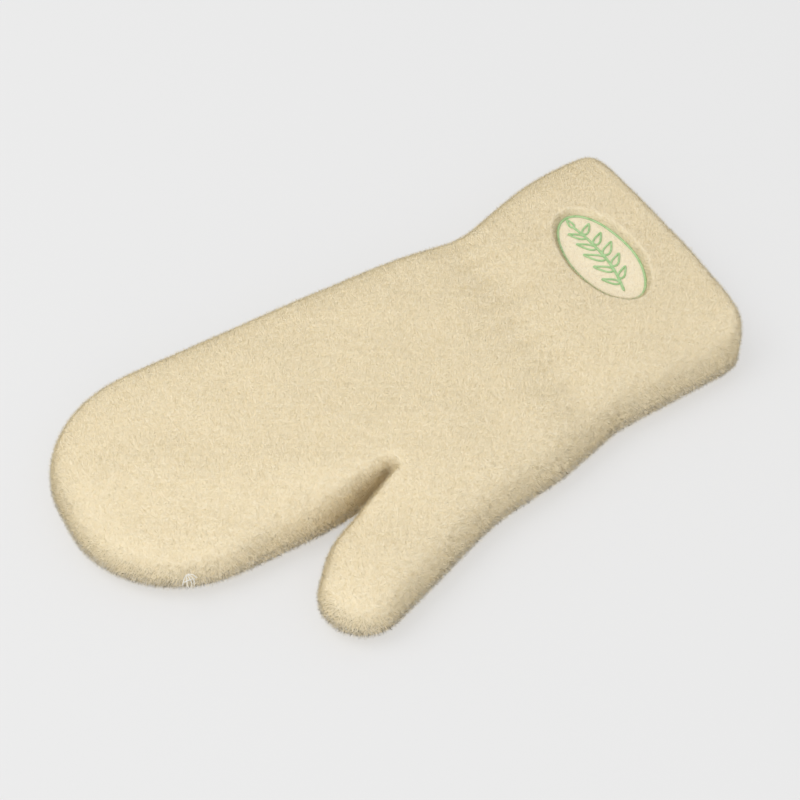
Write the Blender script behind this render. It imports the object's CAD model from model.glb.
"""Looks of a plush wash mitt lying flat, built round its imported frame."""
import logging
import math
from collections.abc import Callable
from dataclasses import dataclass, field
from enum import Enum

import bpy
import numpy as np
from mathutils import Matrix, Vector


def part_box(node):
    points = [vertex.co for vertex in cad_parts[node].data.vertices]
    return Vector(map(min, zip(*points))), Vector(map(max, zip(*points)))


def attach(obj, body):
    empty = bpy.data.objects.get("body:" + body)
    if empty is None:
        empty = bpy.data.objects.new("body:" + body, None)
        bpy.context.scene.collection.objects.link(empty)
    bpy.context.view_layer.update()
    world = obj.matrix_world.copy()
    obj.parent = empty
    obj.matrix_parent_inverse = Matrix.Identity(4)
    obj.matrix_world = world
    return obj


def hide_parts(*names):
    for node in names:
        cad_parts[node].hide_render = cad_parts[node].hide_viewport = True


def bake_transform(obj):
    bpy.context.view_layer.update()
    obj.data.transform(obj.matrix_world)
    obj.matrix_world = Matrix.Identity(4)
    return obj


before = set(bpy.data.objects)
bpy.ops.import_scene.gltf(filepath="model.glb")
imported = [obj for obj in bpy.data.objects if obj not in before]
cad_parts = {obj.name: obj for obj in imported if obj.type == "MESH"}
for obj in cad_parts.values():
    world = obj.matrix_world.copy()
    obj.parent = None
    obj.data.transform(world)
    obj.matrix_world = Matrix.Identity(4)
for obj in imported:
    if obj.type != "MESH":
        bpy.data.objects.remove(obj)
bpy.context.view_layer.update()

LOG = logging.getLogger("wash_mitt")
MM = 0.001                # metres in a millimetre; all sizes below are in millimetres
SEED = 20
HALF_LENGTH = max(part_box("cuff_back_fleece")[1][0], -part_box("hand_back_fleece")[0][0]) / MM
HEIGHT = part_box("hand_back_fleece")[1][2] / MM
WRIST_X = 60.0            # seam between hand and cuff


class Region(Enum):
    """Moving region of the mitt, named for the body that it rides on."""

    HAND = "hand"
    THUMB = "thumb"
    CUFF = "cuff"


class Side(Enum):
    """Panel of the mitt: the back of the hand or the palm."""

    BACK = "back"
    PALM = "palm"


Colour = tuple[float, float, float]


SEAMS = {
    Region.HAND: ("hand_side_seam", "heel_side_seam"),
    Region.THUMB: ("thumb_side_seam",),
    Region.CUFF: ("cuff_near_seam", "cuff_far_seam"),
}


# ---------------------------------------------------------------- shader maths


class Value:
    """A number or socket in a node tree, with arithmetic that adds Math nodes."""

    def __init__(self, tree: "Tree", source: object) -> None:
        """Wrap a socket or number that belongs to a tree."""
        self.tree = tree
        self.source = source

    def _math(self, operation: str, *others: object) -> "Value":
        """Return a Math node's result on this value and the others."""
        inputs = dict(enumerate([self.source, *others]))
        return self.tree.node("ShaderNodeMath", {"operation": operation}, inputs)

    def __add__(self, other: object) -> "Value":
        """Return the sum."""
        return self._math("ADD", other)

    def __mul__(self, other: object) -> "Value":
        """Return the product."""
        return self._math("MULTIPLY", other)

    def __sub__(self, other: object) -> "Value":
        """Return the difference."""
        return self._math("SUBTRACT", other)

    def __rsub__(self, other: object) -> "Value":
        """Return a number less this value."""
        return self.tree.wrap(other)._math("SUBTRACT", self)

    __radd__ = __add__
    __rmul__ = __mul__

    def smooth(self, low: float, high: float) -> "Value":
        """Step smoothly from 0 to 1.

        Args:
            low: value below which the result is 0.
            high: value above which it is 1.

        Returns:
            The stepped value.
        """
        settings = {"interpolation_type": "SMOOTHSTEP"}
        inputs = {"Value": self.source, "From Min": low, "From Max": high}
        return self.tree.node("ShaderNodeMapRange", settings, inputs)


class Tree:
    """Node tree of one material."""

    def __init__(self, name: str) -> None:
        """Start an empty material with a Principled shader.

        Args:
            name: name of the material.
        """
        self.material = bpy.data.materials.new(name)
        self.material.use_nodes = True
        self.nodes = self.material.node_tree.nodes
        self.links = self.material.node_tree.links
        self.shader = self.nodes["Principled BSDF"]

    def wrap(self, source: object) -> Value:
        """Return a socket or number as a Value."""
        return Value(self, source)

    def node(
        self,
        kind: str,
        settings: dict[str, object],
        inputs: dict[object, object],
        output: object = 0,
    ) -> Value:
        """Add a node.

        Args:
            kind: node type, such as ShaderNodeMath.
            settings: attributes set before the inputs.
            inputs: socket names or numbers to values or links.
            output: name or number of the output that is returned.

        Returns:
            The chosen output, wrapped.
        """
        made = self.nodes.new(kind)
        for name, setting in settings.items():
            setattr(made, name, setting)
        for key, value in inputs.items():
            self._feed(made.inputs[key], value)
        return self.wrap(made.outputs[output])

    def _feed(self, socket: bpy.types.NodeSocket, value: object) -> None:
        """Link a socket to a value, or set its number.

        Args:
            socket: input of a node.
            value: a Value, a socket, a colour or a number.
        """
        source = value.source if isinstance(value, Value) else value
        if isinstance(source, bpy.types.NodeSocket):
            self.links.new(source, socket)
        elif isinstance(source, tuple) and len(source) == 3 and socket.type == "RGBA":
            socket.default_value = (*source, 1.0)
        else:
            socket.default_value = source

    def place(self) -> Value:
        """Return the piece's own coordinates, in metres."""
        return self.node("ShaderNodeTexCoord", {}, {}, "Object")

    def noise(self, scale: float, detail: float = 2.0, rough: float = 0.5) -> Value:
        """Return smooth noise of a given scale per metre."""
        inputs = {"Vector": self.place(), "Scale": scale, "Detail": detail, "Roughness": rough}
        return self.node("ShaderNodeTexNoise", {"noise_dimensions": "3D"}, inputs, "Fac")

    def blend(self, factor: object, first: object, second: object) -> Value:
        """Return a mix of two colours."""
        settings = {"data_type": "RGBA", "blend_type": "MIX"}
        return self.node("ShaderNodeMix", settings, {0: factor, 6: first, 7: second}, 2)

    def bump(self, height: Value, strength: float, distance: float) -> Value:
        """Return a normal bent by a height."""
        inputs = {"Height": height, "Strength": strength, "Distance": distance}
        return self.node("ShaderNodeBump", {}, inputs, "Normal")

    def let_through(self, colour: Colour, share: float) -> None:
        """Let a share of the light pass through, as thin fibres do.

        Args:
            colour: what the light that passes is tinted.
            share: from 0 for none to 1 for all of it.
        """
        glow = self.node("ShaderNodeBsdfTranslucent", {}, {"Color": colour}, "BSDF")
        inputs = {0: share, 1: self.shader.outputs["BSDF"], 2: glow}
        both = self.node("ShaderNodeMixShader", {}, inputs, "Shader")
        self.links.new(both.source, self.nodes["Material Output"].inputs["Surface"])

    def finish(self, **sockets: object) -> bpy.types.Material:
        """Feed the Principled shader.

        Args:
            sockets: values by socket name, with underscores for spaces.

        Returns:
            The finished material.
        """
        for name, value in sockets.items():
            self._feed(self.shader.inputs[name.replace("_", " ")], value)
        return self.material


@dataclass(frozen=True)
class PileFinish:
    """Short cream boa pile: fibre tips paler than roots, with faint mottling."""

    name: str = "boa_pile"
    tip: Colour = (0.99, 0.905, 0.71)
    root: Colour = (0.985, 0.855, 0.57)
    through: Colour = (0.99, 0.89, 0.64)
    share: float = 0.5               # of the light passes through a fibre
    mottle: float = 150.0            # per metre, and the finer specks
    speck: float = 1400.0
    mottle_share: float = 0.55

    def material(self) -> bpy.types.Material:
        """Make the finish.

        Returns:
            The material.
        """
        tree = Tree(self.name)
        patch = tree.noise(self.mottle, 3.0).smooth(0.35, 0.70)
        speck = tree.noise(self.speck, 1.0).smooth(0.30, 0.75)
        pale = patch * self.mottle_share + speck * (1 - self.mottle_share)
        colour = tree.blend(pale, self.root, self.tip)
        tree.let_through(self.through, self.share)
        return tree.finish(
            Base_Color=colour, Roughness=0.95, Sheen_Weight=0.25, Sheen_Roughness=0.6,
            Sheen_Tint=(1.0, 0.97, 0.9, 1.0), Specular_IOR_Level=0.15,
        )


@dataclass(frozen=True)
class GroundFinish:
    """Knitted ground that the pile stands on, seen only between fibres."""

    name: str = "boa_ground"
    light: Colour = (0.98, 0.88, 0.67)
    dark: Colour = (0.96, 0.84, 0.60)
    nub: float = 900.0

    def material(self) -> bpy.types.Material:
        """Make the finish.

        Returns:
            The material.
        """
        tree = Tree(self.name)
        nubs = tree.noise(self.nub, 3.0, 0.6)
        colour = tree.blend(nubs.smooth(0.3, 0.7), self.dark, self.light)
        return tree.finish(
            Base_Color=colour, Roughness=0.95, Sheen_Weight=0.2, Specular_IOR_Level=0.1,
            Normal=tree.bump(nubs, 0.6, 0.0008),
        )


@dataclass(frozen=True)
class KnitFinish:
    """Fine knitted lining with its ribs showing."""

    name: str = "lining_knit"
    light: Colour = (0.86, 0.79, 0.64)
    dark: Colour = (0.66, 0.57, 0.42)
    ribs: float = 620.0              # per metre

    def material(self) -> bpy.types.Material:
        """Make the finish.

        Returns:
            The material.
        """
        tree = Tree(self.name)
        ribs = tree.node(
            "ShaderNodeTexWave", {"bands_direction": "Y"},
            {"Vector": tree.place(), "Scale": self.ribs, "Distortion": 1.5, "Detail": 1.0},
            "Fac",
        )
        colour = tree.blend(ribs, self.dark, self.light)
        return tree.finish(
            Base_Color=colour, Roughness=0.9, Specular_IOR_Level=0.2,
            Normal=tree.bump(ribs, 0.5, 0.0004),
        )


@dataclass(frozen=True)
class ThreadFinish:
    """Twisted or satin thread with a soft shine and uneven dye."""

    name: str
    light: Colour
    dark: Colour
    rough: float = 0.55
    sheen: float = 0.3
    dye: float = 700.0               # per metre, and the strands
    strand: float = 6000.0

    def material(self) -> bpy.types.Material:
        """Make the finish.

        Returns:
            The material.
        """
        tree = Tree(self.name)
        dye = tree.noise(self.dye, 2.0).smooth(0.3, 0.7)
        strands = tree.noise(self.strand, 1.0)
        colour = tree.blend(1 - dye, self.light, self.dark)
        return tree.finish(
            Base_Color=colour, Roughness=self.rough, Sheen_Weight=self.sheen,
            Specular_IOR_Level=0.35, Normal=tree.bump(strands, 0.3, 0.0002),
        )


CREAM_THREAD = ThreadFinish("cream_thread", (0.88, 0.86, 0.80), (0.80, 0.77, 0.68))
GREEN_THREAD = ThreadFinish("green_thread", (0.49, 0.69, 0.36), (0.36, 0.58, 0.26), 0.5, 0.2)
ELASTIC = ThreadFinish("knitted_elastic", (0.84, 0.82, 0.76), (0.70, 0.67, 0.60), 0.8)
FELT = ThreadFinish("backing_felt", (0.86, 0.84, 0.78), (0.76, 0.73, 0.66), 0.95)
FLUFF = PileFinish(
    "seam_fluff", tip=(0.98, 0.97, 0.93), root=(0.97, 0.94, 0.87), through=(0.98, 0.96, 0.92))
PRESSED = PileFinish(
    "pressed_pile", tip=(0.85, 0.75, 0.59), root=(0.83, 0.69, 0.51), through=(0.85, 0.73, 0.55),
    share=0.4)


@dataclass(frozen=True)
class FloorFinish:
    """Smooth pale studio floor, lit a little from within so that shadows stay light."""

    name: str = "studio_floor"
    colour: Colour = (0.33, 0.33, 0.33)
    glow: float = 0.475

    def material(self) -> bpy.types.Material:
        """Make the finish.

        Returns:
            The material.
        """
        tree = Tree(self.name)
        return tree.finish(
            Base_Color=self.colour, Roughness=0.9, Specular_IOR_Level=0.1,
            Emission_Color=(1.0, 1.0, 1.0), Emission_Strength=self.glow,
        )


# ---------------------------------------------------------------- the mitt's form


@dataclass
class Outline:
    """Outline of the mitt from above, as corners with rounding radii."""

    cuff_far: tuple[float, float] = (98.0, 85.6)
    cuff_near: tuple[float, float] = (62.0, -45.3)
    far_slope: float = 0.118         # flare of the cuff's two sides
    near_slope: float = 0.112
    overrun: float = 40.0            # how far the sides run past the mouth
    corners: list[tuple[float, float, float]] = field(default_factory=lambda: [
        (98.0, 85.6, 90.0),                 # cuff, far side
        (57.0, 68.2, 30.0),                 # wrist, far side
        (18.0, 69.0, 150.0),
        (-HALF_LENGTH, 57.2, 46.0),         # fingertips
        (-HALF_LENGTH, -43.5, 44.0),
        (-54.0, -38.3, 60.0),
        (-26.0, -31.0, 1.0),                # crotch
        (-26.0, -33.1, 1.0),
        (-58.4, -45.6, 28.0),
        (-77.4, -69.2, 15.5),               # tip of the thumb
        (-61.6, -89.4, 15.5),
        (0.0, -62.5, 80.0),
        (33.0, -55.6, 60.0),                # heel of the hand
        (62.0, -45.3, 25.0),                # wrist, near side
    ])
    arc_step: float = math.radians(6.0)

    def points(self) -> np.ndarray:
        """Draw the closed outline, its arcs cut into short chords.

        Returns:
            The points in order.
        """
        end_x = HALF_LENGTH + self.overrun
        far_y = self.cuff_far[1] + self.far_slope * (end_x - self.cuff_far[0])
        near_y = self.cuff_near[1] + self.near_slope * (end_x - self.cuff_near[0])
        corners = [(end_x, far_y, 0.0), *self.corners, (end_x, near_y, 0.0)]
        path: list[np.ndarray] = []
        for index, (x, y, radius) in enumerate(corners):
            corner = np.array((x, y))
            before = np.array(corners[index - 1][:2]) - corner
            after = np.array(corners[(index + 1) % len(corners)][:2]) - corner
            path.extend(self._arc(corner, before, after, radius))
        return np.array(path)

    def _arc(
        self, corner: np.ndarray, before: np.ndarray, after: np.ndarray, radius: float
    ) -> list[np.ndarray]:
        """Draw one rounded corner.

        Args:
            corner: where its sides would meet.
            before: way to the corner before.
            after: way to the corner after.
            radius: rounding, or 0 for a sharp corner.

        Returns:
            The corner's points in order.
        """
        if radius == 0.0:
            return [corner]
        one, two = before / np.linalg.norm(before), after / np.linalg.norm(after)
        half = math.acos(float(np.clip(one @ two, -1.0, 1.0))) / 2
        bisector = (one + two) / np.linalg.norm(one + two)
        centre = corner + bisector * radius / math.sin(half)
        start = corner + one * radius / math.tan(half) - centre
        end = corner + two * radius / math.tan(half) - centre
        turn = math.atan2(start[0] * end[1] - start[1] * end[0], float(start @ end))
        count = max(2, int(abs(turn) / self.arc_step) + 1)
        side = np.array((-start[1], start[0]))
        angles = np.linspace(0.0, turn, count + 1)
        return [centre + start * math.cos(a) + side * math.sin(a) for a in angles]


def smooth_step(value: np.ndarray, low: float, high: float) -> np.ndarray:
    """Return 0 below low, 1 above high and a smooth step between."""
    t = np.clip((value - low) / (high - low), 0.0, 1.0)
    return t * t * (3 - 2 * t)


def soft_max(first: np.ndarray, second: np.ndarray, width: float) -> np.ndarray:
    """Return the larger of two fields, rounded where they cross."""
    h = np.clip(0.5 + 0.5 * (first - second) / width, 0.0, 1.0)
    return second + (first - second) * h + width * h * (1 - h)


def round_max(first: np.ndarray, second: np.ndarray, radius: float) -> np.ndarray:
    """Join two distance fields with a round corner.

    Args:
        first: one distance, negative inside.
        second: the other.
        radius: rounding of the corner.

    Returns:
        The distance to what lies inside both.
    """
    a, b = first + radius, second + radius
    corner = np.hypot(np.maximum(a, 0.0), np.maximum(b, 0.0))
    return corner + np.minimum(np.maximum(a, b), 0.0) - radius


def ripples(x: np.ndarray, y: np.ndarray, z: np.ndarray, wave: float, seed: int) -> np.ndarray:
    """Return smooth seeded noise between about -1 and 1, made of plane waves.

    Args:
        x: X of the places, in mm.
        y: Y of the places.
        z: Z of the places.
        wave: typical wavelength in mm.
        seed: number that fixes the waves.

    Returns:
        The noise at each place.
    """
    rng = np.random.default_rng(seed)
    total = np.zeros_like(x, dtype=float)
    count, gain = 10, 0.6
    for _ in range(count):
        way = rng.normal(size=3)
        way *= 2 * math.pi / (wave * rng.uniform(0.7, 1.6) * np.linalg.norm(way))
        total += np.sin(way[0] * x + way[1] * y + way[2] * z + rng.uniform(0, 2 * math.pi))
    return total * math.sqrt(2.0 / count) * gain


class Plan:
    """Fields over the mitt's flat plan: distance to the outline and swell."""

    def __init__(self, outline: Outline, step: float, margin: float = 9.0) -> None:
        """Measure the outline's signed distance, positive inside, on a grid.

        Args:
            outline: the mitt's outline.
            step: spacing of the grid.
            margin: how far the grid runs past the mitt.
        """
        points = outline.points()
        self.step = step
        low = points.min(0) - margin
        high_y = points[:, 1].max() + margin
        self.x = np.arange(-HALF_LENGTH - margin, HALF_LENGTH + margin, step)
        self.y = np.arange(low[1], high_y, step)
        grid = np.stack(np.meshgrid(self.x, self.y, indexing="ij"), -1).reshape(-1, 2)
        self.inside_distance = self._signed(points, grid).reshape(len(self.x), len(self.y))

    def _signed(self, points: np.ndarray, grid: np.ndarray) -> np.ndarray:
        """Measure the distance to the outline.

        Args:
            points: the outline's points in order.
            grid: places to measure at.

        Returns:
            Distance at each place, positive inside.
        """
        nearest = np.full(len(grid), np.inf)
        inside = np.zeros(len(grid), dtype=bool)
        for a, b in zip(points, np.roll(points, -1, axis=0)):
            edge = b - a
            if not edge.any():
                continue
            along = np.clip(((grid - a) @ edge) / (edge @ edge), 0.0, 1.0)
            gap = grid - a - along[:, None] * edge
            nearest = np.minimum(nearest, (gap**2).sum(1))
            crosses = (a[1] > grid[:, 1]) != (b[1] > grid[:, 1])
            if a[1] != b[1]:
                cut = (b[0] - a[0]) * (grid[:, 1] - a[1]) / (b[1] - a[1]) + a[0]
                inside ^= crosses & (grid[:, 0] < cut)
        return np.where(inside, 1.0, -1.0) * np.sqrt(nearest)

    def swell(self, inset: float, reach: np.ndarray) -> np.ndarray:
        """Return a field that is 1 on the inset outline and fades inwards.

        Args:
            inset: how far inside the outline the field is 1.
            reach: distance over which it falls by a factor of e, at each grid point.

        Returns:
            The field on the grid, growing past 1 outside.
        """
        rounds, middle = 700, 4.0
        depth = self.inside_distance - inset
        edge_band = 2.0 * self.step
        inner = depth > edge_band
        near = np.where(depth > 0, np.exp(-depth / reach), 1.0 - depth / reach)
        fade = near.copy()
        pull = middle + (self.step / reach) ** 2
        for _ in range(rounds):
            wide = np.pad(fade, 1, mode="edge")
            around = wide[2:, 1:-1] + wide[:-2, 1:-1] + wide[1:-1, 2:] + wide[1:-1, :-2]
            fade = np.where(inner, around / pull, near)
        return fade


@dataclass
class MittForm:
    """Soft outer and inner surfaces of the mitt as signed fields in space."""

    step: float = 1.5
    pile_inset: float = 0.3          # skin lies this far inside the pile's ends
    seam_z: float = 5.5
    rise: float = 17.8               # skin above the side seam
    edge_reach: float = 12.0
    cleft: tuple[tuple[float, float], ...] = ((-25.0, -31.6), (-40.0, -37.0))
    cleft_reach: float = 2.6
    cleft_width: float = 9.5
    web: tuple[float, float] = (-27.0, -32.2)    # where the thumb and hand still touch
    web_width: float = 8.0
    web_fill: float = 0.58
    fullness: float = 1.75           # 2 gives elliptic sides, less gives softer ones
    wall: float = 6.0                # doubled fleece at the cuff
    sole: float = 0.6                # how much thinner the wall is on the floor
    wall_round: float = 1.0
    lip: float = 5.0                 # rounding of the mouth's fold
    corner_near: float = 16.0        # rounding of the mouth's two corners
    corner_far: float = 11.0
    corner_y: float = 20.0           # the near corner lies below it
    mouth_x: float = HALF_LENGTH - 4.2
    mouth_lean: float = 2.8          # how far the mouth's near end falls back
    lean_run: float = 62.0
    floor_gap: float = 0.3
    belly: float = 3.5               # rounding where the palm meets the floor
    palm_full: float = 1.12          # how much fuller the palm is than the drop
    tip_fall: float = 2.4            # how much lower the skin lies at the fingertips,
    thumb_fall: float = 1.8          # on the thumb
    wrist_fall: float = 1.7          # and in the gathered wrist
    wrist_line: tuple[float, float] = (50.0, 0.04)    # X of the gathers, and their slope
    wrist_width: float = 12.0
    pucker: float = 0.35             # depth of the gathers
    pucker_pitch: float = 1.9
    pucker_stray: float = 1.6
    dents: tuple[tuple[float, float], ...] = ((0.45, 42.0), (0.22, 18.0))    # depth, wave
    plan: Plan = field(init=False)
    z: np.ndarray = field(init=False)
    outer: np.ndarray = field(init=False)
    inner: np.ndarray = field(init=False)
    cloth: np.ndarray = field(init=False)
    top: np.ndarray = field(init=False)

    def __post_init__(self) -> None:
        """Work out the fields on the grid."""
        plan = self.plan = Plan(Outline(), self.step)
        x, y = np.meshgrid(plan.x, plan.y, indexing="ij")
        self.z = np.arange(-2.0, HEIGHT + 6.0, self.step)
        rise, drop = self._heights(x, y)
        reach = self._reach(x, y)
        web = np.exp(-((x - self.web[0]) ** 2 + (y - self.web[1]) ** 2) / self.web_width**2)
        edge = plan.swell(self.pile_inset, reach) * (1 - self.web_fill * web)
        outer = self._pillow(edge, rise, drop)
        hollow = plan.swell(self.pile_inset + self.wall, reach)
        self.inner = self._pillow(hollow, rise - self.wall, drop - self.wall + self.sole)
        above_floor = self.z[None, None, :] - self.floor_gap
        self.outer = soft_max(outer, np.broadcast_to(-above_floor, outer.shape), self.belly)
        wall = soft_max(self.outer, -self.inner, self.wall_round)
        corner = np.where(y < self.corner_y, self.corner_near, self.corner_far)
        back = smooth_step(self.corner_y - y, 0.0, self.lean_run)
        mouth = self.mouth_x - self.mouth_lean * back
        past = round_max(x - mouth, self.pile_inset - plan.inside_distance, corner)
        beyond = np.broadcast_to(past[:, :, None], wall.shape)
        self.cloth = soft_max(wall, beyond, self.lip)
        fade = np.clip(edge, 0.0, 1.0)
        self.top = self.seam_z + rise * (1 - fade**self.fullness) ** (1 / self.fullness)

    def top_at(self, x: np.ndarray, y: np.ndarray) -> np.ndarray:
        """Look up the height of the skin's upper side.

        Args:
            x: X of the places in plan.
            y: Y of the places.

        Returns:
            Height at each place.
        """
        plan = self.plan
        u, v = (x - plan.x[0]) / plan.step, (y - plan.y[0]) / plan.step
        i, j = np.floor(u).astype(int), np.floor(v).astype(int)
        u, v = u - i, v - j
        low = self.top[i, j] * (1 - u) + self.top[i + 1, j] * u
        high = self.top[i, j + 1] * (1 - u) + self.top[i + 1, j + 1] * u
        return low * (1 - v) + high * v

    def _reach(self, x: np.ndarray, y: np.ndarray) -> np.ndarray:
        """Work out how far the rounding of the edge reaches in, less beside the cleft.

        Args:
            x: X of the grid's places.
            y: Y of the grid's places.

        Returns:
            Reach at each place.
        """
        (ax, ay), (bx, by) = self.cleft
        run = (bx - ax) ** 2 + (by - ay) ** 2
        along = np.clip(((x - ax) * (bx - ax) + (y - ay) * (by - ay)) / run, 0.0, 1.0)
        away = np.hypot(x - ax - along * (bx - ax), y - ay - along * (by - ay))
        close = np.exp(-((away / self.cleft_width) ** 2))
        return self.edge_reach - (self.edge_reach - self.cleft_reach) * close

    def _heights(self, x: np.ndarray, y: np.ndarray) -> tuple[np.ndarray, np.ndarray]:
        """Work out how far the skin rises above and drops below the side seam.

        Args:
            x: X of the grid's places.
            y: Y of the grid's places.

        Returns:
            Rise and drop at each place.
        """
        none = np.zeros_like(x)
        rise = np.full_like(x, self.rise)
        rise -= self.tip_fall * (1 - smooth_step(x, -HALF_LENGTH, -30.0))
        thumb = smooth_step(-(x * 0.42 + (y + 40) * 0.9), 0.0, 26.0) * (x < 20)
        rise -= self.thumb_fall * thumb
        wrist_x, slope = self.wrist_line
        wrist = np.exp(-(((x - wrist_x - slope * y) / self.wrist_width) ** 2))
        stray = self.pucker_stray * ripples(x, y, none, 60.0, 3)
        pucker = np.sin(y / self.pucker_pitch + stray)
        rise -= wrist * (self.wrist_fall - self.pucker * pucker)
        (wide, wide_wave), (small, small_wave) = self.dents
        dents = wide * ripples(x, y, none, wide_wave, 5)
        rise += dents + small * ripples(x, y, none, small_wave, 6)
        drop = np.full_like(x, self.seam_z)
        return rise, drop

    def _pillow(self, fade: np.ndarray, rise: np.ndarray, drop: np.ndarray) -> np.ndarray:
        """Work out the signed field of a swollen body.

        Args:
            fade: 1 at the body's edge in plan, fading inwards.
            rise: height of the body over the seam.
            drop: depth of the body below it.

        Returns:
            The field, negative inside.
        """
        lift = self.z[None, None, :] - self.seam_z
        half = np.where(lift > 0, rise[:, :, None], drop[:, :, None] * self.palm_full)
        power = self.fullness
        total = np.abs(lift / half) ** power + fade[:, :, None] ** power
        return (total ** (1 / power) - 1.0) * self.edge_reach


class SurfaceNet:
    """Quad mesh of a field's zero surface, one vertex in each crossed cell."""

    def __init__(self, values: np.ndarray, low: np.ndarray, step: float) -> None:
        """Trace the surface of a field sampled on a regular grid.

        Args:
            values: the field, negative inside.
            low: place of the grid's first value.
            step: spacing of the grid.
        """
        cells = tuple(n - 1 for n in values.shape)
        total = np.zeros((*cells, 3))
        count = np.zeros(cells)
        quads: list[np.ndarray] = []
        inside = values < 0
        for axis in range(3):
            others = [a for a in range(3) if a != axis]
            first = np.take(values, range(values.shape[axis] - 1), axis)
            second = np.take(values, range(1, values.shape[axis]), axis)
            here = np.take(inside, range(values.shape[axis] - 1), axis)
            there = np.take(inside, range(1, values.shape[axis]), axis)
            at = np.argwhere(here != there)
            room = [(at[:, o] > 0) & (at[:, o] < values.shape[o] - 1) for o in others]
            at = at[room[0] & room[1]]
            index = tuple(at.T)
            place = at.astype(float)
            place[:, axis] += first[index] / (first[index] - second[index])
            ring = []
            for back_one, back_two in ((0, 0), (1, 0), (1, 1), (0, 1)):
                cell = at.copy()
                cell[:, others[0]] -= back_one
                cell[:, others[1]] -= back_two
                np.add.at(total, tuple(cell.T), place)
                np.add.at(count, tuple(cell.T), 1)
                ring.append(np.ravel_multi_index(tuple(cell.T), cells))
            quad = np.stack(ring, 1)
            flip = here[index] == (axis == 1)
            quad[flip] = quad[flip][:, ::-1]
            quads.append(quad)
        used = count.ravel() > 0
        number = np.cumsum(used) - 1
        centres = total.reshape(-1, 3)[used] / count.ravel()[used][:, None]
        self.points = low + centres * step
        self.quads = number[np.concatenate(quads)]

    def relax(self, rounds: int, amount: float = 0.5) -> None:
        """Even the surface out by moving each vertex towards its neighbours' mean.

        Args:
            rounds: how many times they are moved, every other time away again.
            amount: share of the way.
        """
        swell = 1.02                  # away a little further, so that nothing shrinks
        edges = np.concatenate([self.quads[:, [k, (k + 1) % 4]] for k in range(4)])
        edges = np.concatenate([edges, edges[:, ::-1]])
        degree = np.bincount(edges[:, 0], minlength=len(self.points))[:, None]
        for turn in range(rounds):
            mean = np.zeros_like(self.points)
            for axis in range(3):
                weight = self.points[edges[:, 1], axis]
                mean[:, axis] = np.bincount(edges[:, 0], weight, len(self.points))
            push = amount if turn % 2 == 0 else -amount * swell
            self.points += push * (mean / degree - self.points)

    def refine(self) -> None:
        """Split every quad in four."""
        count = len(self.points)
        ring = [self.quads[:, [k, (k + 1) % 4]] for k in range(4)]
        pairs = np.sort(np.concatenate(ring), axis=1)
        edges, which = np.unique(pairs, axis=0, return_inverse=True)
        which = which.reshape(4, -1) + count
        middles = self.points[edges].mean(1)
        centres = self.points[self.quads].mean(1)
        hub = np.arange(len(self.quads)) + count + len(edges)
        self.points = np.concatenate([self.points, middles, centres])
        self.quads = np.concatenate([
            np.stack([self.quads[:, k], which[k], hub, which[k - 1]], 1) for k in range(4)
        ])

    def normals(self) -> np.ndarray:
        """Work out the normals.

        Returns:
            A unit normal for each vertex.
        """
        a, b, c, d = (self.points[self.quads[:, k]] for k in range(4))
        face = np.cross(c - a, d - b)
        total = np.zeros_like(self.points)
        for k in range(4):
            np.add.at(total, self.quads[:, k], face)
        return total / np.maximum(np.linalg.norm(total, axis=1), 1e-9)[:, None]


def mesh_piece(
    name: str,
    points: np.ndarray,
    faces: np.ndarray,
    material: bpy.types.Material,
    normals: np.ndarray | None = None,
    bake_map: np.ndarray | None = None,
) -> bpy.types.Object:
    """Make a smooth mesh piece from points in mm.

    Args:
        name: name of the piece.
        points: places of its vertices.
        faces: corners of each face, all faces with as many corners.
        material: its finish.
        normals: shading normal of each vertex, if not the mesh's own.
        bake_map: place of each vertex on the piece's colour map.

    Returns:
        The new object.
    """
    mesh = bpy.data.meshes.new(name)
    mesh.vertices.add(len(points))
    mesh.vertices.foreach_set("co", (points * MM).astype(np.float32).ravel())
    corners = faces.astype(np.int32).ravel()
    mesh.loops.add(len(corners))
    mesh.loops.foreach_set("vertex_index", corners)
    mesh.polygons.add(len(faces))
    starts = np.arange(0, len(corners), faces.shape[1], dtype=np.int32)
    mesh.polygons.foreach_set("loop_start", starts)
    mesh.update(calc_edges=True)
    mesh.materials.append(material)
    mesh.shade_smooth()
    if bake_map is not None:
        layer = mesh.uv_layers.new(name="OFBake")
        layer.data.foreach_set("uv", bake_map[corners].astype(np.float32).ravel())
    if normals is not None:
        mesh.normals_split_custom_set_from_vertices(normals.astype(np.float32))
    piece = bpy.data.objects.new(name, mesh)
    bpy.context.scene.collection.objects.link(piece)
    LOG.info("%s: %d vertices, %d faces", name, len(points), len(faces))
    return piece


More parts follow.
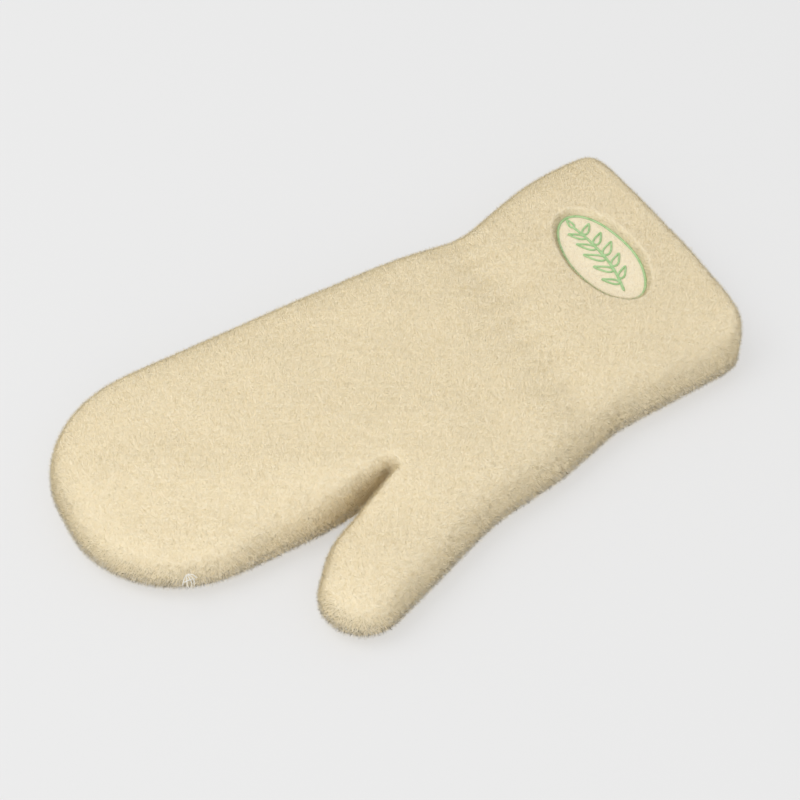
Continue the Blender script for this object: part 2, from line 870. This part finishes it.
@dataclass
class Bends:
    """Where the cloth bends between the hand and what is joined to it."""

    thumb_start: tuple[float, float] = (-10.5, -46.9)
    thumb_way: tuple[float, float] = (-0.79, -0.61)
    thumb_run: float = 33.0
    wrist_start: float = WRIST_X - 14.0
    wrist_end: float = WRIST_X + 14.0
    cleft: tuple[tuple[float, float], ...] = (
        (-20.0, -30.5), (-45.0, -39.2), (-60.0, -43.0), (-140.0, -62.0),
    )

    def region(self, points: np.ndarray) -> np.ndarray:
        """Sort points by region.

        Args:
            points: places in mm.

        Returns:
            Each point's region as an index into Region.
        """
        x, y = points[:, 0], points[:, 1]
        (start_x, start_y), (way_x, way_y) = self.thumb_start, self.thumb_way
        past = (x - start_x) * way_x + (y - start_y) * way_y
        knots = np.array(self.cleft[::-1])
        below = y < np.interp(x, knots[:, 0], knots[:, 1])
        return np.where(x > self.wrist_start, 2, np.where((past > 0) & below, 1, 0))

    def join(self, piece: bpy.types.Object, region: Region) -> None:
        """Make a piece follow its region's body, bending where the cloth bends.

        Args:
            piece: the piece.
            region: its region.
        """
        level = HEIGHT / 2 * MM
        if region is Region.HAND:
            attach(piece, Region.HAND.value)
        elif region is Region.THUMB:
            end = [s + w * self.thumb_run for s, w in zip(self.thumb_start, self.thumb_way)]
            start = (self.thumb_start[0] * MM, self.thumb_start[1] * MM, level)
            end[0] * MM
            end[1] * MM
            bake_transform(piece)
        else:
            start, end = (self.wrist_start * MM, 0.0, level), (self.wrist_end * MM, 0.0, level)
            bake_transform(piece)


@dataclass(frozen=True)
class Pile:
    """Short soft fibres that stand on the skin."""

    length: float = 0.95
    width: float = 0.085
    lean: float = 0.22
    bent: bool = False
    glow: float = 1.1                # how much it is lit from above, as loose fluff is
    clump: float = 3.0               # size of the tufts that lean together
    drift: float = 6.0               # how much wider the slow drift is than a tuft
    together: float = 0.35           # how much they lean alike
    stray: float = 0.6               # and how much each leans its own way
    lengths: tuple[float, float] = (0.7, 1.15)    # shortest and longest
    depth: float = 0.15              # of the root in the skin
    knee: float = 0.55               # share of a bent fibre below and above its knee
    shin: float = 0.5
    narrow: float = 0.9              # width at the knee
    curl: tuple[float, float, float] = (0.5, 1.2, 0.45)    # up, leaning and stray
    facing: float = 0.1              # how much its own direction tells in the light
    lowest: float = 0.06             # above the floor
    most_faces: int = 180000         # in one piece

    def fibres(
        self, points: np.ndarray, normals: np.ndarray, rng: np.random.Generator
    ) -> tuple[np.ndarray, np.ndarray, np.ndarray, np.ndarray]:
        """Build fibres at points on the skin.

        Args:
            points: roots of the fibres.
            normals: skin's unit normals there.
            rng: source of the small differences.

        Returns:
            Vertices, faces, shading normals and colour map places.
        """
        count = len(points)
        slow = self.clump * self.drift
        swirl = np.stack([ripples(*points.T, self.clump, SEED + k) for k in range(3)], 1)
        drift = np.stack([ripples(*points.T, slow, SEED + 7 + k) for k in range(3)], 1)
        way = (swirl + drift) * self.together + rng.normal(size=(count, 3)) * self.stray
        way -= normals * (way * normals).sum(1)[:, None]
        long = self.length * rng.uniform(*self.lengths, (count, 1))
        rise = unit(normals + way * self.lean)
        across = unit(np.cross(rise, rng.normal(size=(count, 3)))) * self.width / 2
        root = points - normals * self.depth
        if self.bent:
            up, lean, stray = self.curl
            loose = rng.normal(size=(count, 3)) * stray
            curl = unit(normals * up + way * self.lean * lean + loose)
            knee = points + rise * long * self.knee
            tip = knee + curl * long * self.shin
            thin = across * self.narrow
            strip = [root - across, root + across, knee - thin, knee + thin, tip]
            rings = ((0, 1, 3), (0, 3, 2), (2, 3, 4))
        else:
            strip = [root - across, root + across, points + rise * long]
            rings = ((0, 1, 2),)
        corners = np.stack(strip, 1)
        corners[:, :, 2] = np.maximum(corners[:, :, 2], self.lowest)
        base = np.arange(count)[:, None] * len(strip)
        faces = np.concatenate([base + np.array(ring) for ring in rings])
        lit = normals + rise * self.facing + np.array((0.0, 0.0, self.glow))
        shade = unit(np.repeat(lit[:, None], len(strip), 1).reshape(-1, 3))
        flat = corners.reshape(-1, 3)
        chart = (flat[:, :2] + HALF_LENGTH) / (2 * HALF_LENGTH) * 0.98 + 0.01
        return flat, faces, shade, chart

    def most(self) -> int:
        """Return the most fibres that one piece may hold."""
        return self.most_faces // (3 if self.bent else 1)


def unit(ways: np.ndarray) -> np.ndarray:
    """Return directions scaled to length one."""
    return ways / np.maximum(np.linalg.norm(ways, axis=1), 1e-9)[:, None]


def scatter(
    points: np.ndarray, quads: np.ndarray, normals: np.ndarray, density: np.ndarray,
    rng: np.random.Generator,
) -> tuple[np.ndarray, np.ndarray]:
    """Scatter points evenly over quads.

    Args:
        points: vertices of the skin.
        quads: faces to cover.
        normals: unit normals of the vertices.
        density: points per square mm on each face.
        rng: source of the places.

    Returns:
        Places and unit normals of the scattered points.
    """
    corners = points[quads]
    area = 0.5 * np.linalg.norm(
        np.cross(corners[:, 2] - corners[:, 0], corners[:, 3] - corners[:, 1]), axis=1)
    wanted = area * density
    count = np.floor(wanted).astype(int) + (rng.random(len(quads)) < wanted % 1)
    pick = np.repeat(np.arange(len(quads)), count)
    u, v = rng.random((2, len(pick), 1))
    weights = np.stack([(1 - u) * (1 - v), u * (1 - v), u * v, (1 - u) * v], 1)
    place = (corners[pick] * weights).sum(1)
    return place, unit((normals[quads[pick]] * weights).sum(1))


@dataclass
class Bed:
    """Oval on the back of the cuff where the pile is pressed flat."""

    centre: tuple[float, float] = (97.0, 25.0)
    half_width: float = 13.5
    half_length: float = 27.0
    tilt: float = math.radians(-3.0)
    sink: float = 2.7
    slope: float = 1.9               # width of the step round the oval
    brink: float = -0.2              # where the step starts

    def local(self, x: np.ndarray, y: np.ndarray) -> tuple[np.ndarray, np.ndarray]:
        """Turn places in plan into the oval's own axes.

        Args:
            x: X of the places.
            y: Y of the places.

        Returns:
            Their places across and along the oval.
        """
        u, v = x - self.centre[0], y - self.centre[1]
        c, s = math.cos(self.tilt), math.sin(self.tilt)
        return u * c + v * s, v * c - u * s

    def world(self, u: np.ndarray, v: np.ndarray) -> tuple[np.ndarray, np.ndarray]:
        """Return the plan places of points in the oval's own axes."""
        c, s = math.cos(self.tilt), math.sin(self.tilt)
        return self.centre[0] + u * c - v * s, self.centre[1] + v * c + u * s

    def outside(self, x: np.ndarray, y: np.ndarray) -> np.ndarray:
        """Work out the rough distance outside the oval.

        Args:
            x: X of the places in plan.
            y: Y of the places.

        Returns:
            Distance at each place, negative inside.
        """
        u, v = self.local(x, y)
        a, b = self.half_width, self.half_length
        away = np.hypot(u / a, v / b)
        steep = np.hypot(u / a**2, v / b**2) / np.maximum(away, 1e-6)
        return (away - 1.0) / np.maximum(steep, 1.0 / b)

    def drop(self, x: np.ndarray, y: np.ndarray) -> np.ndarray:
        """Return how far the skin is pressed down at places in plan."""
        return self.sink * (1 - smooth_step(self.outside(x, y), self.brink, self.slope))


@dataclass
class Fleece:
    """Skin, pile and lining of the whole mitt, in panels that bend at the joints."""

    form: MittForm
    bends: Bends
    bed: Bed
    pile: Pile = Pile()
    fuzz: Pile = Pile(length=1.9, width=0.05, lean=0.3, bent=True, glow=1.2)
    fluff: Pile = Pile(length=1.9, width=0.07, lean=0.5, bent=True, glow=1.6)
    pressed: Pile = Pile(length=0.45, width=0.10, lean=1.6)
    top_density: float = 15.0        # fibres per square mm
    low_density: float = 3.0
    low_z: float = 4.0               # below it the pile is thin
    facing_density: float = 2.5
    fuzz_density: float = 3.8        # on the sides
    top_fuzz_density: float = 1.3
    side_upright: tuple[float, float] = (0.55, 0.9)    # from side to top, by the normal's Z
    side_z: tuple[float, float] = (2.5, 5.0)
    fluff_density: float = 4.2
    seam_fluff_z: tuple[float, float] = (4.0, 8.4)
    fluff_upright: float = 0.97      # none where the skin lies flat
    facing_end: float = 62.0         # the turned-in fleece ends at the wrist seam
    lining_within: float = 0.9       # of the hollow's field
    mouth_rim: float = 1.0           # of the mouth is skin
    bed_rim: float = 0.3             # of the oval isn't pressed
    tuft_height: float = 0.10
    tuft_waves: tuple[float, float] = (3.0, 1.9)
    small_tufts: float = 0.6
    low: np.ndarray = field(init=False)
    rng: np.random.Generator = field(init=False)
    net: SurfaceNet = field(init=False)
    normals: np.ndarray = field(init=False)
    centre: np.ndarray = field(init=False)
    inner: np.ndarray = field(init=False)

    def build(self) -> None:
        """Build every panel and its pile."""
        form = self.form
        self.low = np.array([form.plan.x[0], form.plan.y[0], form.z[0]])
        self.rng = np.random.default_rng(SEED)
        self.net = self._skin()
        self.normals = self.net.normals()
        self.centre = self.net.points[self.net.quads].mean(1)
        x, _, z = self.centre.T
        hollow = self._sample(form.inner, self.centre) < self.lining_within
        inner = self.inner = hollow & (x < form.mouth_x - self.mouth_rim)
        facing = inner & (x > self.facing_end)
        region = self.bends.region(self.centre)
        upper = z > form.seam_z
        ground, knit = GroundFinish().material(), KnitFinish().material()
        boa, pale = PileFinish().material(), FLUFF.material()
        pressed = PRESSED.material()
        low, high = self.seam_fluff_z
        for number, part in enumerate(Region):
            seam = (region == number) & ~inner & (z > low) & (z < high)
            place, way = self._scatter(seam, np.full(len(x), self.fluff_density))
            steep = np.abs(way[:, 2]) < self.fluff_upright
            name = f"{part.value}_seam_fluff"
            fringe = self._grow(name, self.fluff, place[steep], way[steep], part, pale)
            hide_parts(*SEAMS[part])
            for side in Side:
                half = (region == number) & (upper == (side is Side.BACK))
                name = f"{part.value}_{side.value}"
                skin = self._panel(f"{name}_skin", half & ~inner, part, ground)
                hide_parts(f"{name}_fleece")
                flat = pressed if part is Region.CUFF else None
                self._coat(name, half & ~inner, part, boa, flat)
                if part is Region.CUFF:
                    lining = self._panel(f"{name}_facing_skin", half & facing, part, ground)
                    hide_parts(f"{name}_facing")
                    place, way = self._scatter(half & facing, np.full(len(x), self.facing_density))
                    self._grow(f"{name}_facing_pile", self.pile, place, way, part, boa)
                    self._panel(f"{name}_lining_end", half & inner & ~facing, part, knit)
                else:
                    lining = self._panel(f"{name}_lining_knit", half & inner, part, knit)
                    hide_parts(f"{name}_lining")

    def _skin(self) -> SurfaceNet:
        """Make the whole skin as one fine mesh, with its tufts and sunk oval.

        Returns:
            The mesh.
        """
        net = SurfaceNet(self.form.cloth, self.low, self.form.step)
        net.relax(4)
        net.refine()
        net.relax(4)
        normals = net.normals()
        wave, small = self.tuft_waves
        tufts = ripples(*net.points.T, wave, 11)
        tufts += self.small_tufts * ripples(*net.points.T, small, 12)
        pressed = self.bed.drop(net.points[:, 0], net.points[:, 1])
        outer = self._sample(self.form.inner, net.points) > self.lining_within
        pressed *= outer & (net.points[:, 2] > self.form.seam_z)
        raised = self.tuft_height * tufts * (1 - pressed / self.bed.sink)
        net.points += normals * raised[:, None]
        net.points[:, 2] -= pressed
        net.points[:, 2] = np.maximum(net.points[:, 2], self.form.floor_gap)
        return net

    def _coat(
        self, name: str, keep: np.ndarray, part: Region, boa: bpy.types.Material,
        pressed: bpy.types.Material | None,
    ) -> None:
        """Cover an outer panel with pile.

        Args:
            name: start of the pieces' names.
            keep: the panel's faces.
            part: its region.
            boa: finish of the pile.
            pressed: finish of the pile pressed flat in the oval, if the oval is on it.
        """
        z = self.centre[:, 2]
        density = np.where(z > self.low_z, self.top_density, self.low_density)
        place, way = self._scatter(keep, density)
        inside = self.bed.outside(place[:, 0], place[:, 1]) < -self.bed_rim
        inside &= (place[:, 2] > self.form.seam_z) & (pressed is not None)
        self._grow(f"{name}_pile", self.pile, place[~inside], way[~inside], part, boa)
        upright = np.abs(self.normals[self.net.quads[:, 0], 2])
        more = (1 - smooth_step(upright, *self.side_upright)) * smooth_step(z, *self.side_z)
        thick = self.top_fuzz_density + (self.fuzz_density - self.top_fuzz_density) * more
        loose, up = self._scatter(keep, thick)
        clear = self.bed.outside(loose[:, 0], loose[:, 1]) > 0.0
        self._grow(f"{name}_fuzz", self.fuzz, loose[clear], up[clear], part, boa)
        if inside.any():
            self._grow("emblem_bed_pile", self.pressed, place[inside], way[inside], part, pressed)

    def _scatter(self, keep: np.ndarray, density: np.ndarray) -> tuple[np.ndarray, np.ndarray]:
        """Scatter fibre roots over the chosen faces."""
        net = self.net
        return scatter(net.points, net.quads[keep], self.normals, density[keep], self.rng)

    def _sample(self, values: np.ndarray, points: np.ndarray) -> np.ndarray:
        """Return a field's nearest grid value at each point."""
        index = np.rint((points - self.low) / self.form.step).astype(int)
        return values[tuple(np.clip(index, 0, np.array(values.shape) - 1).T)]

    def _panel(
        self, name: str, keep: np.ndarray, region: Region, material: bpy.types.Material
    ) -> bpy.types.Object:
        """Make one panel of the skin.

        Args:
            name: name of the piece.
            keep: its faces.
            region: its region.
            material: its finish.

        Returns:
            The new object.
        """
        used, faces = np.unique(self.net.quads[keep], return_inverse=True)
        piece = mesh_piece(
            name, self.net.points[used], faces.reshape(-1, 4), material, self.normals[used])
        self.bends.join(piece, region)
        return piece

    def _grow(
        self, name: str, pile: Pile, place: np.ndarray, way: np.ndarray, region: Region,
        material: bpy.types.Material,
    ) -> bpy.types.Object:
        """Grow pile on a panel, in pieces of a limited size.

        Args:
            name: start of the pieces' names.
            pile: kind of pile.
            place: roots of the fibres.
            way: skin's unit normals there.
            region: the panel's region.
            material: finish of the pile.

        Returns:
            The last of the new objects.
        """
        order = np.argsort(place[:, 0])
        parts = max(1, math.ceil(len(place) / pile.most()))
        for number, chosen in enumerate(np.array_split(order, parts)):
            points, faces, shade, chart = pile.fibres(place[chosen], way[chosen], self.rng)
            piece = mesh_piece(f"{name}_{number + 1}", points, faces, material, shade, chart)
            self.bends.join(piece, region)
        return piece


@dataclass
class Satin:
    """Raised row of satin stitches that follows a path."""

    width: float = 1.0
    height: float = 0.55
    pitch: float = 0.45              # from one stitch to the next
    slant: float = 0.5
    across: int = 7                  # points across the row
    along: int = 5                   # and along each stitch
    ragged: float = 0.10             # how much the stitches differ in width
    groove: float = 0.38             # depth between stitches, as a share of the height
    blunt: float = 0.35              # width of an open row's ends, as a share
    depth: float = 0.12              # of the row's edges in the cloth

    def mesh(
        self, path: np.ndarray, closed: bool, lift: Callable[[np.ndarray, np.ndarray], np.ndarray]
    ) -> tuple[np.ndarray, np.ndarray]:
        """Sweep the stitches along a path in plan.

        Args:
            path: points of the path.
            closed: whether its end joins its start.
            lift: gives the height of the cloth under places in plan.

        Returns:
            Vertices and faces.
        """
        line = np.concatenate([path, path[:1]]) if closed else path
        legs = np.linalg.norm(np.diff(line, axis=0), axis=1)
        run = np.concatenate([[0.0], np.cumsum(legs)])
        count = max(4, int(run[-1] / self.pitch)) * self.along
        at = np.linspace(0.0, run[-1], count, endpoint=not closed)
        x, y = np.interp(at, run, line[:, 0]), np.interp(at, run, line[:, 1])
        ahead = np.stack([np.gradient(x), np.gradient(y)], 1)
        if closed:
            ahead = np.stack([np.roll(x, -1) - np.roll(x, 1), np.roll(y, -1) - np.roll(y, 1)], 1)
        ahead = unit(ahead)
        side = np.stack([-ahead[:, 1], ahead[:, 0]], 1)
        t = np.linspace(-1.0, 1.0, self.across)[None, :]
        stitch = at[:, None] / self.pitch + self.slant * t
        number = np.floor(stitch)
        ragged = 1 + self.ragged * np.sin(number * 12.9898) * np.cos(number * 4.1)
        ends = np.ones(count)
        if not closed:
            from_end = np.minimum(at, run[-1] - at)
            ends = np.minimum(1.0, from_end / self.width + self.blunt)
        spread = t * self.width / 2 * ragged * ends[:, None]
        ridge = 1 - self.groove + self.groove * np.abs(np.sin(math.pi * stitch))
        arch = np.sqrt(np.maximum(1 - t**2, 0.0)) * self.height * ridge
        px, py = x[:, None] + side[:, :1] * spread, y[:, None] + side[:, 1:] * spread
        pz = lift(px, py) + arch - self.depth
        points = np.stack([px, py, pz], -1).reshape(-1, 3)
        rows = np.arange(count if closed else count - 1)[:, None]
        cols = np.arange(self.across - 1)[None, :]
        here, there = rows * self.across + cols, ((rows + 1) % count) * self.across + cols
        faces = np.stack([here, here + 1, there + 1, there], -1).reshape(-1, 4)
        return points, faces[:, ::-1]


@dataclass
class Emblem:
    """Green embroidery in the oval: a border and a leafy sprig."""

    form: MittForm
    bed: Bed
    border_inset: float = 0.7
    border_width: float = 1.05       # of each row of satin
    stem_width: float = 1.15
    leaf_row_width: float = 0.85
    stem_reach: float = 20.5
    stem_bow: float = 2.88
    leaf_length: float = 8.6
    leaf_width: float = 4.2
    leaf_pairs: int = 5
    leaf_span: tuple[float, float] = (-0.72, 0.66)    # first and last pair, of the reach
    leaf_shrink: float = 0.10        # from the middle pair to the next
    leaf_stagger: float = 1.1
    leaf_gap: float = 0.5            # from the stem's middle to a leaf's root
    leaf_point: float = 0.38
    end_leaf: float = 0.62
    above_bed: float = 0.25          # height of the rows over the pressed skin
    leaf_angle: float = math.radians(46.0)

    def build(self) -> None:
        """Build the border and the sprig."""
        green = GREEN_THREAD.material()
        turn = np.linspace(0.0, 2 * math.pi, 181)[:-1]
        a, b = self.bed.half_width - self.border_inset, self.bed.half_length - self.border_inset
        ring = np.stack(self.bed.world(a * np.cos(turn), b * np.sin(turn)), 1)
        border = self._sew("emblem_border_satin", [(ring, True, self.border_width)], green)
        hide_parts("emblem_border")
        sprig = self._sew("emblem_sprig_satin", self._sprig(), green)
        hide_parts("emblem_sprig")

    def _sprig(self) -> list[tuple[np.ndarray, bool, float]]:
        """Lay out the sprig.

        Returns:
            Its paths, each with whether it closes and its width.
        """
        v = np.linspace(-self.stem_reach, self.stem_reach, 41)
        u = self._bow(v)
        stem = np.stack(self.bed.world(u, v), 1)
        leaves = []
        rows = np.linspace(*self.leaf_span, self.leaf_pairs) * self.stem_reach
        for number, row in enumerate(rows):
            size = 1.0 - self.leaf_shrink * abs(number - (self.leaf_pairs - 1) / 2)
            for way in (-1.0, 1.0):
                leaves.append(self._leaf(row + self.leaf_stagger * way, way, size))
        leaves.append(self._leaf(self.stem_reach - self.leaf_gap, 0.0, self.end_leaf))
        return [(stem, False, self.stem_width)] + [
            (leaf, True, self.leaf_row_width) for leaf in leaves
        ]

    def _bow(self, v: np.ndarray | float) -> np.ndarray | float:
        """Return the stem's sideways bow along the oval's length."""
        return self.stem_bow * (0.5 - (v / self.stem_reach) ** 2)

    def _leaf(self, root: float, way: float, size: float) -> np.ndarray:
        """Draw a pointed leaf that leaves the stem.

        Args:
            root: where along the stem it starts.
            way: side of the stem, -1 or 1, or 0 for the leaf at its end.
            size: its size, as a share of a full leaf.

        Returns:
            Its outline in plan.
        """
        turn = np.linspace(0.0, 2 * math.pi, 37)[:-1]
        along = (1 - np.cos(turn)) / 2 * self.leaf_length * size
        blade = 1 - self.leaf_point + self.leaf_point * np.cos(turn)
        across = np.sin(turn) * blade * self.leaf_width / 2 * size
        angle = way * self.leaf_angle
        sin, cos = math.sin(angle), math.cos(angle)
        u = self._bow(root) + way * self.leaf_gap + along * sin + across * cos
        v = root + along * cos - across * sin
        return np.stack(self.bed.world(u, v), 1)

    def _lift(self, x: np.ndarray, y: np.ndarray) -> np.ndarray:
        """Return the height of the pressed pile at places in plan."""
        return self.form.top_at(x, y) - self.bed.sink + self.above_bed

    def _sew(
        self, name: str, rows: list[tuple[np.ndarray, bool, float]], material: bpy.types.Material
    ) -> bpy.types.Object:
        """Sew satin rows into one piece that rides on the cuff.

        Args:
            name: name of the piece.
            rows: paths, each with whether it closes and its width.
            material: finish of the thread.

        Returns:
            The new object.
        """
        all_points, all_faces, count = [], [], 0
        for path, closed, width in rows:
            points, faces = Satin(width=width).mesh(path, closed, self._lift)
            all_points.append(points)
            all_faces.append(faces + count)
            count += len(points)
        piece = mesh_piece(name, np.concatenate(all_points), np.concatenate(all_faces), material)
        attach(piece, "cuff")
        return piece


@dataclass
class ThreadTail:
    """Loose ends of seam thread that hang from the side near the fingertips."""

    root: tuple[float, float, float] = (-107.0, -37.2, 12.4)
    radius: float = 0.17
    sides: int = 6
    lowest: float = 0.4              # above the floor
    cut: float = 0.25                # share of a leg that each rounding cuts off

    def build(self) -> None:
        """Build the curled ends as one piece."""
        x, y, z = self.root
        curls = (
            [(0, 0, 0), (-1.6, -1.6, 0.4), (-2.5, -2.5, -1.4)],
            [(0, 0, 0), (-0.6, -1.9, 0.7), (-1.2, -3.2, -1.0), (-0.9, -3.6, -2.4)],
            [(0.2, 0, 0), (0.2, -2.0, 0.8), (0.5, -3.4, -0.5), (0.2, -3.8, -2.0)],
            [(0.4, 0, 0), (1.2, -1.7, 0.5), (1.6, -3.0, -0.9), (1.1, -3.5, -2.2)],
            [(0.6, 0, 0.1), (2.0, -1.3, 0.6), (2.8, -2.3, -0.7)],
            [(-1.8, -2.2, -0.4), (-0.4, -2.8, 0.4), (1.2, -2.6, 0.2), (2.2, -2.4, -0.8)],
        )
        points, faces, count = [], [], 0
        for curl in curls:
            path = np.array([(x + dx, y + dy, max(z + dz, self.lowest)) for dx, dy, dz in curl])
            tube, rings = self._tube(self._smooth(path))
            points.append(tube)
            faces.append(rings + count)
            count += len(tube)
        piece = mesh_piece(
            "fingertip_thread_ends", np.concatenate(points), np.concatenate(faces),
            CREAM_THREAD.material())
        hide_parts("fingertip_thread_tail")
        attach(piece, "hand")

    def _smooth(self, path: np.ndarray) -> np.ndarray:
        """Round a path's corners by repeated cutting.

        Args:
            path: its points.

        Returns:
            The points of the rounded path.
        """
        keep = 1 - self.cut
        for _ in range(3):
            left = path[:-1] * keep + path[1:] * self.cut
            right = path[:-1] * self.cut + path[1:] * keep
            middle = np.stack([left, right], 1).reshape(-1, 3)
            path = np.concatenate([path[:1], middle, path[-1:]])
        return path

    def _tube(self, path: np.ndarray) -> tuple[np.ndarray, np.ndarray]:
        """Make a round tube.

        Args:
            path: points of its middle.

        Returns:
            Vertices and faces.
        """
        ahead = unit(np.gradient(path, axis=0))
        side = unit(np.cross(ahead, np.array((0.3, 0.2, 0.93))))
        other = np.cross(ahead, side)
        turn = np.linspace(0.0, 2 * math.pi, self.sides, endpoint=False)
        cos, sin = np.cos(turn)[None, :, None], np.sin(turn)[None, :, None]
        ring = side[:, None] * cos + other[:, None] * sin
        points = (path[:, None] + ring * self.radius).reshape(-1, 3)
        rows = np.arange(len(path) - 1)[:, None] * self.sides
        k = np.arange(self.sides)[None, :]
        here, after = rows + k, rows + (k + 1) % self.sides
        faces = np.stack([here, after, after + self.sides, here + self.sides], -1)
        return points, faces.reshape(-1, 4)


@dataclass
class HiddenSewing:
    """Sewing inside the walls, as thin bands behind the lining."""

    fleece: Fleece
    elastic_x: tuple[float, float] = (50.5, 57.5)
    wrist_thread_x: tuple[float, float] = (58.3, 60.3)
    mouth_thread_x: tuple[float, float] = (124.0, 126.0)
    felt_margin: float = 1.5         # of the felt round the oval
    depth: float = 0.7

    def build(self) -> None:
        """Build the elastic, two rows of thread and the felt."""
        thread = CREAM_THREAD.material()
        x, y, z = self.fleece.centre.T
        inner = self.fleece.inner
        for name, node, (low, high), finish in (
            ("wrist_elastic_band", "wrist_elastic", self.elastic_x, ELASTIC.material()),
            ("wrist_thread_row", "wrist_seam_thread", self.wrist_thread_x, thread),
            ("mouth_thread_row", "mouth_seam_thread", self.mouth_thread_x, thread),
        ):
            self._band(name, node, inner & (x > low) & (x < high), finish)
        under = self.fleece.bed.outside(x, y) < self.felt_margin
        felt = inner & (z > self.fleece.form.seam_z) & under
        self._band("emblem_backing_felt", "emblem_backing", felt, FELT.material())

    def _band(self, name: str, node: str, keep: np.ndarray, material: bpy.types.Material) -> None:
        """Lay a thin band into the cuff's wall behind part of the lining.

        Args:
            name: name of the piece.
            node: frame's node that it replaces.
            keep: faces of the lining that it follows.
            material: its finish.
        """
        net, normals = self.fleece.net, self.fleece.normals
        used, faces = np.unique(net.quads[keep], return_inverse=True)
        points = net.points[used] - normals[used] * self.depth
        piece = mesh_piece(name, points, faces.reshape(-1, 4), material, normals[used])
        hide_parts(node)
        self.fleece.bends.join(piece, Region.CUFF)


# ---------------------------------------------------------------- studio


@dataclass
class Studio:
    """Pale floor, soft light and the camera."""

    camera_at: tuple[float, float, float] = (-231.7, -422.2, 509.7)
    elevation: float = 46.0
    azimuth: float = -28.2
    view_angle: float = 24.0
    floor_half: float = 6000.0
    sky: float = 0.75
    softboxes: tuple[tuple[str, tuple[float, float, float], float, float], ...] = (
        ("key_light", (-0.70, 0.30, 1.4), 1.3, 9.4),       # place and size in metres,
        ("front_light", (-0.55, -1.3, 0.38), 1.2, 4.0),    # and power in watts
    )

    def build(self) -> None:
        """Add the floor, the lights and the camera."""
        self._floor()
        self._camera()
        self._lights()

    def _floor(self) -> None:
        """Add a wide flat floor."""
        square = np.array([(-1, -1, 0), (1, -1, 0), (1, 1, 0), (-1, 1, 0)], float)
        faces = np.array([[0, 1, 2, 3]])
        finish = FloorFinish().material()
        floor = mesh_piece("studio_floor", square * self.floor_half, faces, finish)

    def _camera(self) -> None:
        """Aim the camera."""
        data = bpy.data.cameras.new("camera")
        data.sensor_fit = "HORIZONTAL"
        data.angle = math.radians(self.view_angle)
        camera = bpy.data.objects.new("camera", data)
        bpy.context.scene.collection.objects.link(camera)
        camera.location = Vector(self.camera_at) * MM
        camera.rotation_euler = (math.radians(90 - self.elevation), 0, math.radians(self.azimuth))
        bpy.context.scene.camera = camera

    def _lights(self) -> None:
        """Add an even sky, a large soft light from above and a low one in front."""
        world = bpy.data.worlds.new("studio_sky")
        bpy.context.scene.world = world
        world.use_nodes = True
        background = world.node_tree.nodes["Background"]
        background.inputs["Color"].default_value = (1.0, 1.0, 1.0, 1.0)
        background.inputs["Strength"].default_value = self.sky
        for softbox in self.softboxes:
            self._softbox(*softbox)

    def _softbox(
        self, name: str, place: tuple[float, float, float], size: float, power: float
    ) -> None:
        """Add a square area light that faces the mitt.

        Args:
            name: name of the light.
            place: its place, in metres.
            size: its side, in metres.
            power: its power, in watts.
        """
        data = bpy.data.lights.new(name, "AREA")
        data.shape = "SQUARE"
        data.size = size
        data.energy = power
        lamp = bpy.data.objects.new(name, data)
        lamp.location = place
        lamp.rotation_euler = Vector(place).to_track_quat("Z", "Y").to_euler()
        bpy.context.scene.collection.objects.link(lamp)


def main() -> None:
    """Build the mitt and its studio in order."""
    logging.basicConfig(level=logging.INFO, format="%(name)s %(message)s")
    scene = bpy.context.scene
    scene.view_settings.view_transform = "Standard"
    scene.cycles.max_bounces = 16
    scene.cycles.diffuse_bounces = 10
    Studio().build()
    form, bed = MittForm(), Bed()
    fleece = Fleece(form, Bends(), bed)
    fleece.build()
    Emblem(form, bed).build()
    ThreadTail().build()
    HiddenSewing(fleece).build()


if __name__ == "__main__":
    main()
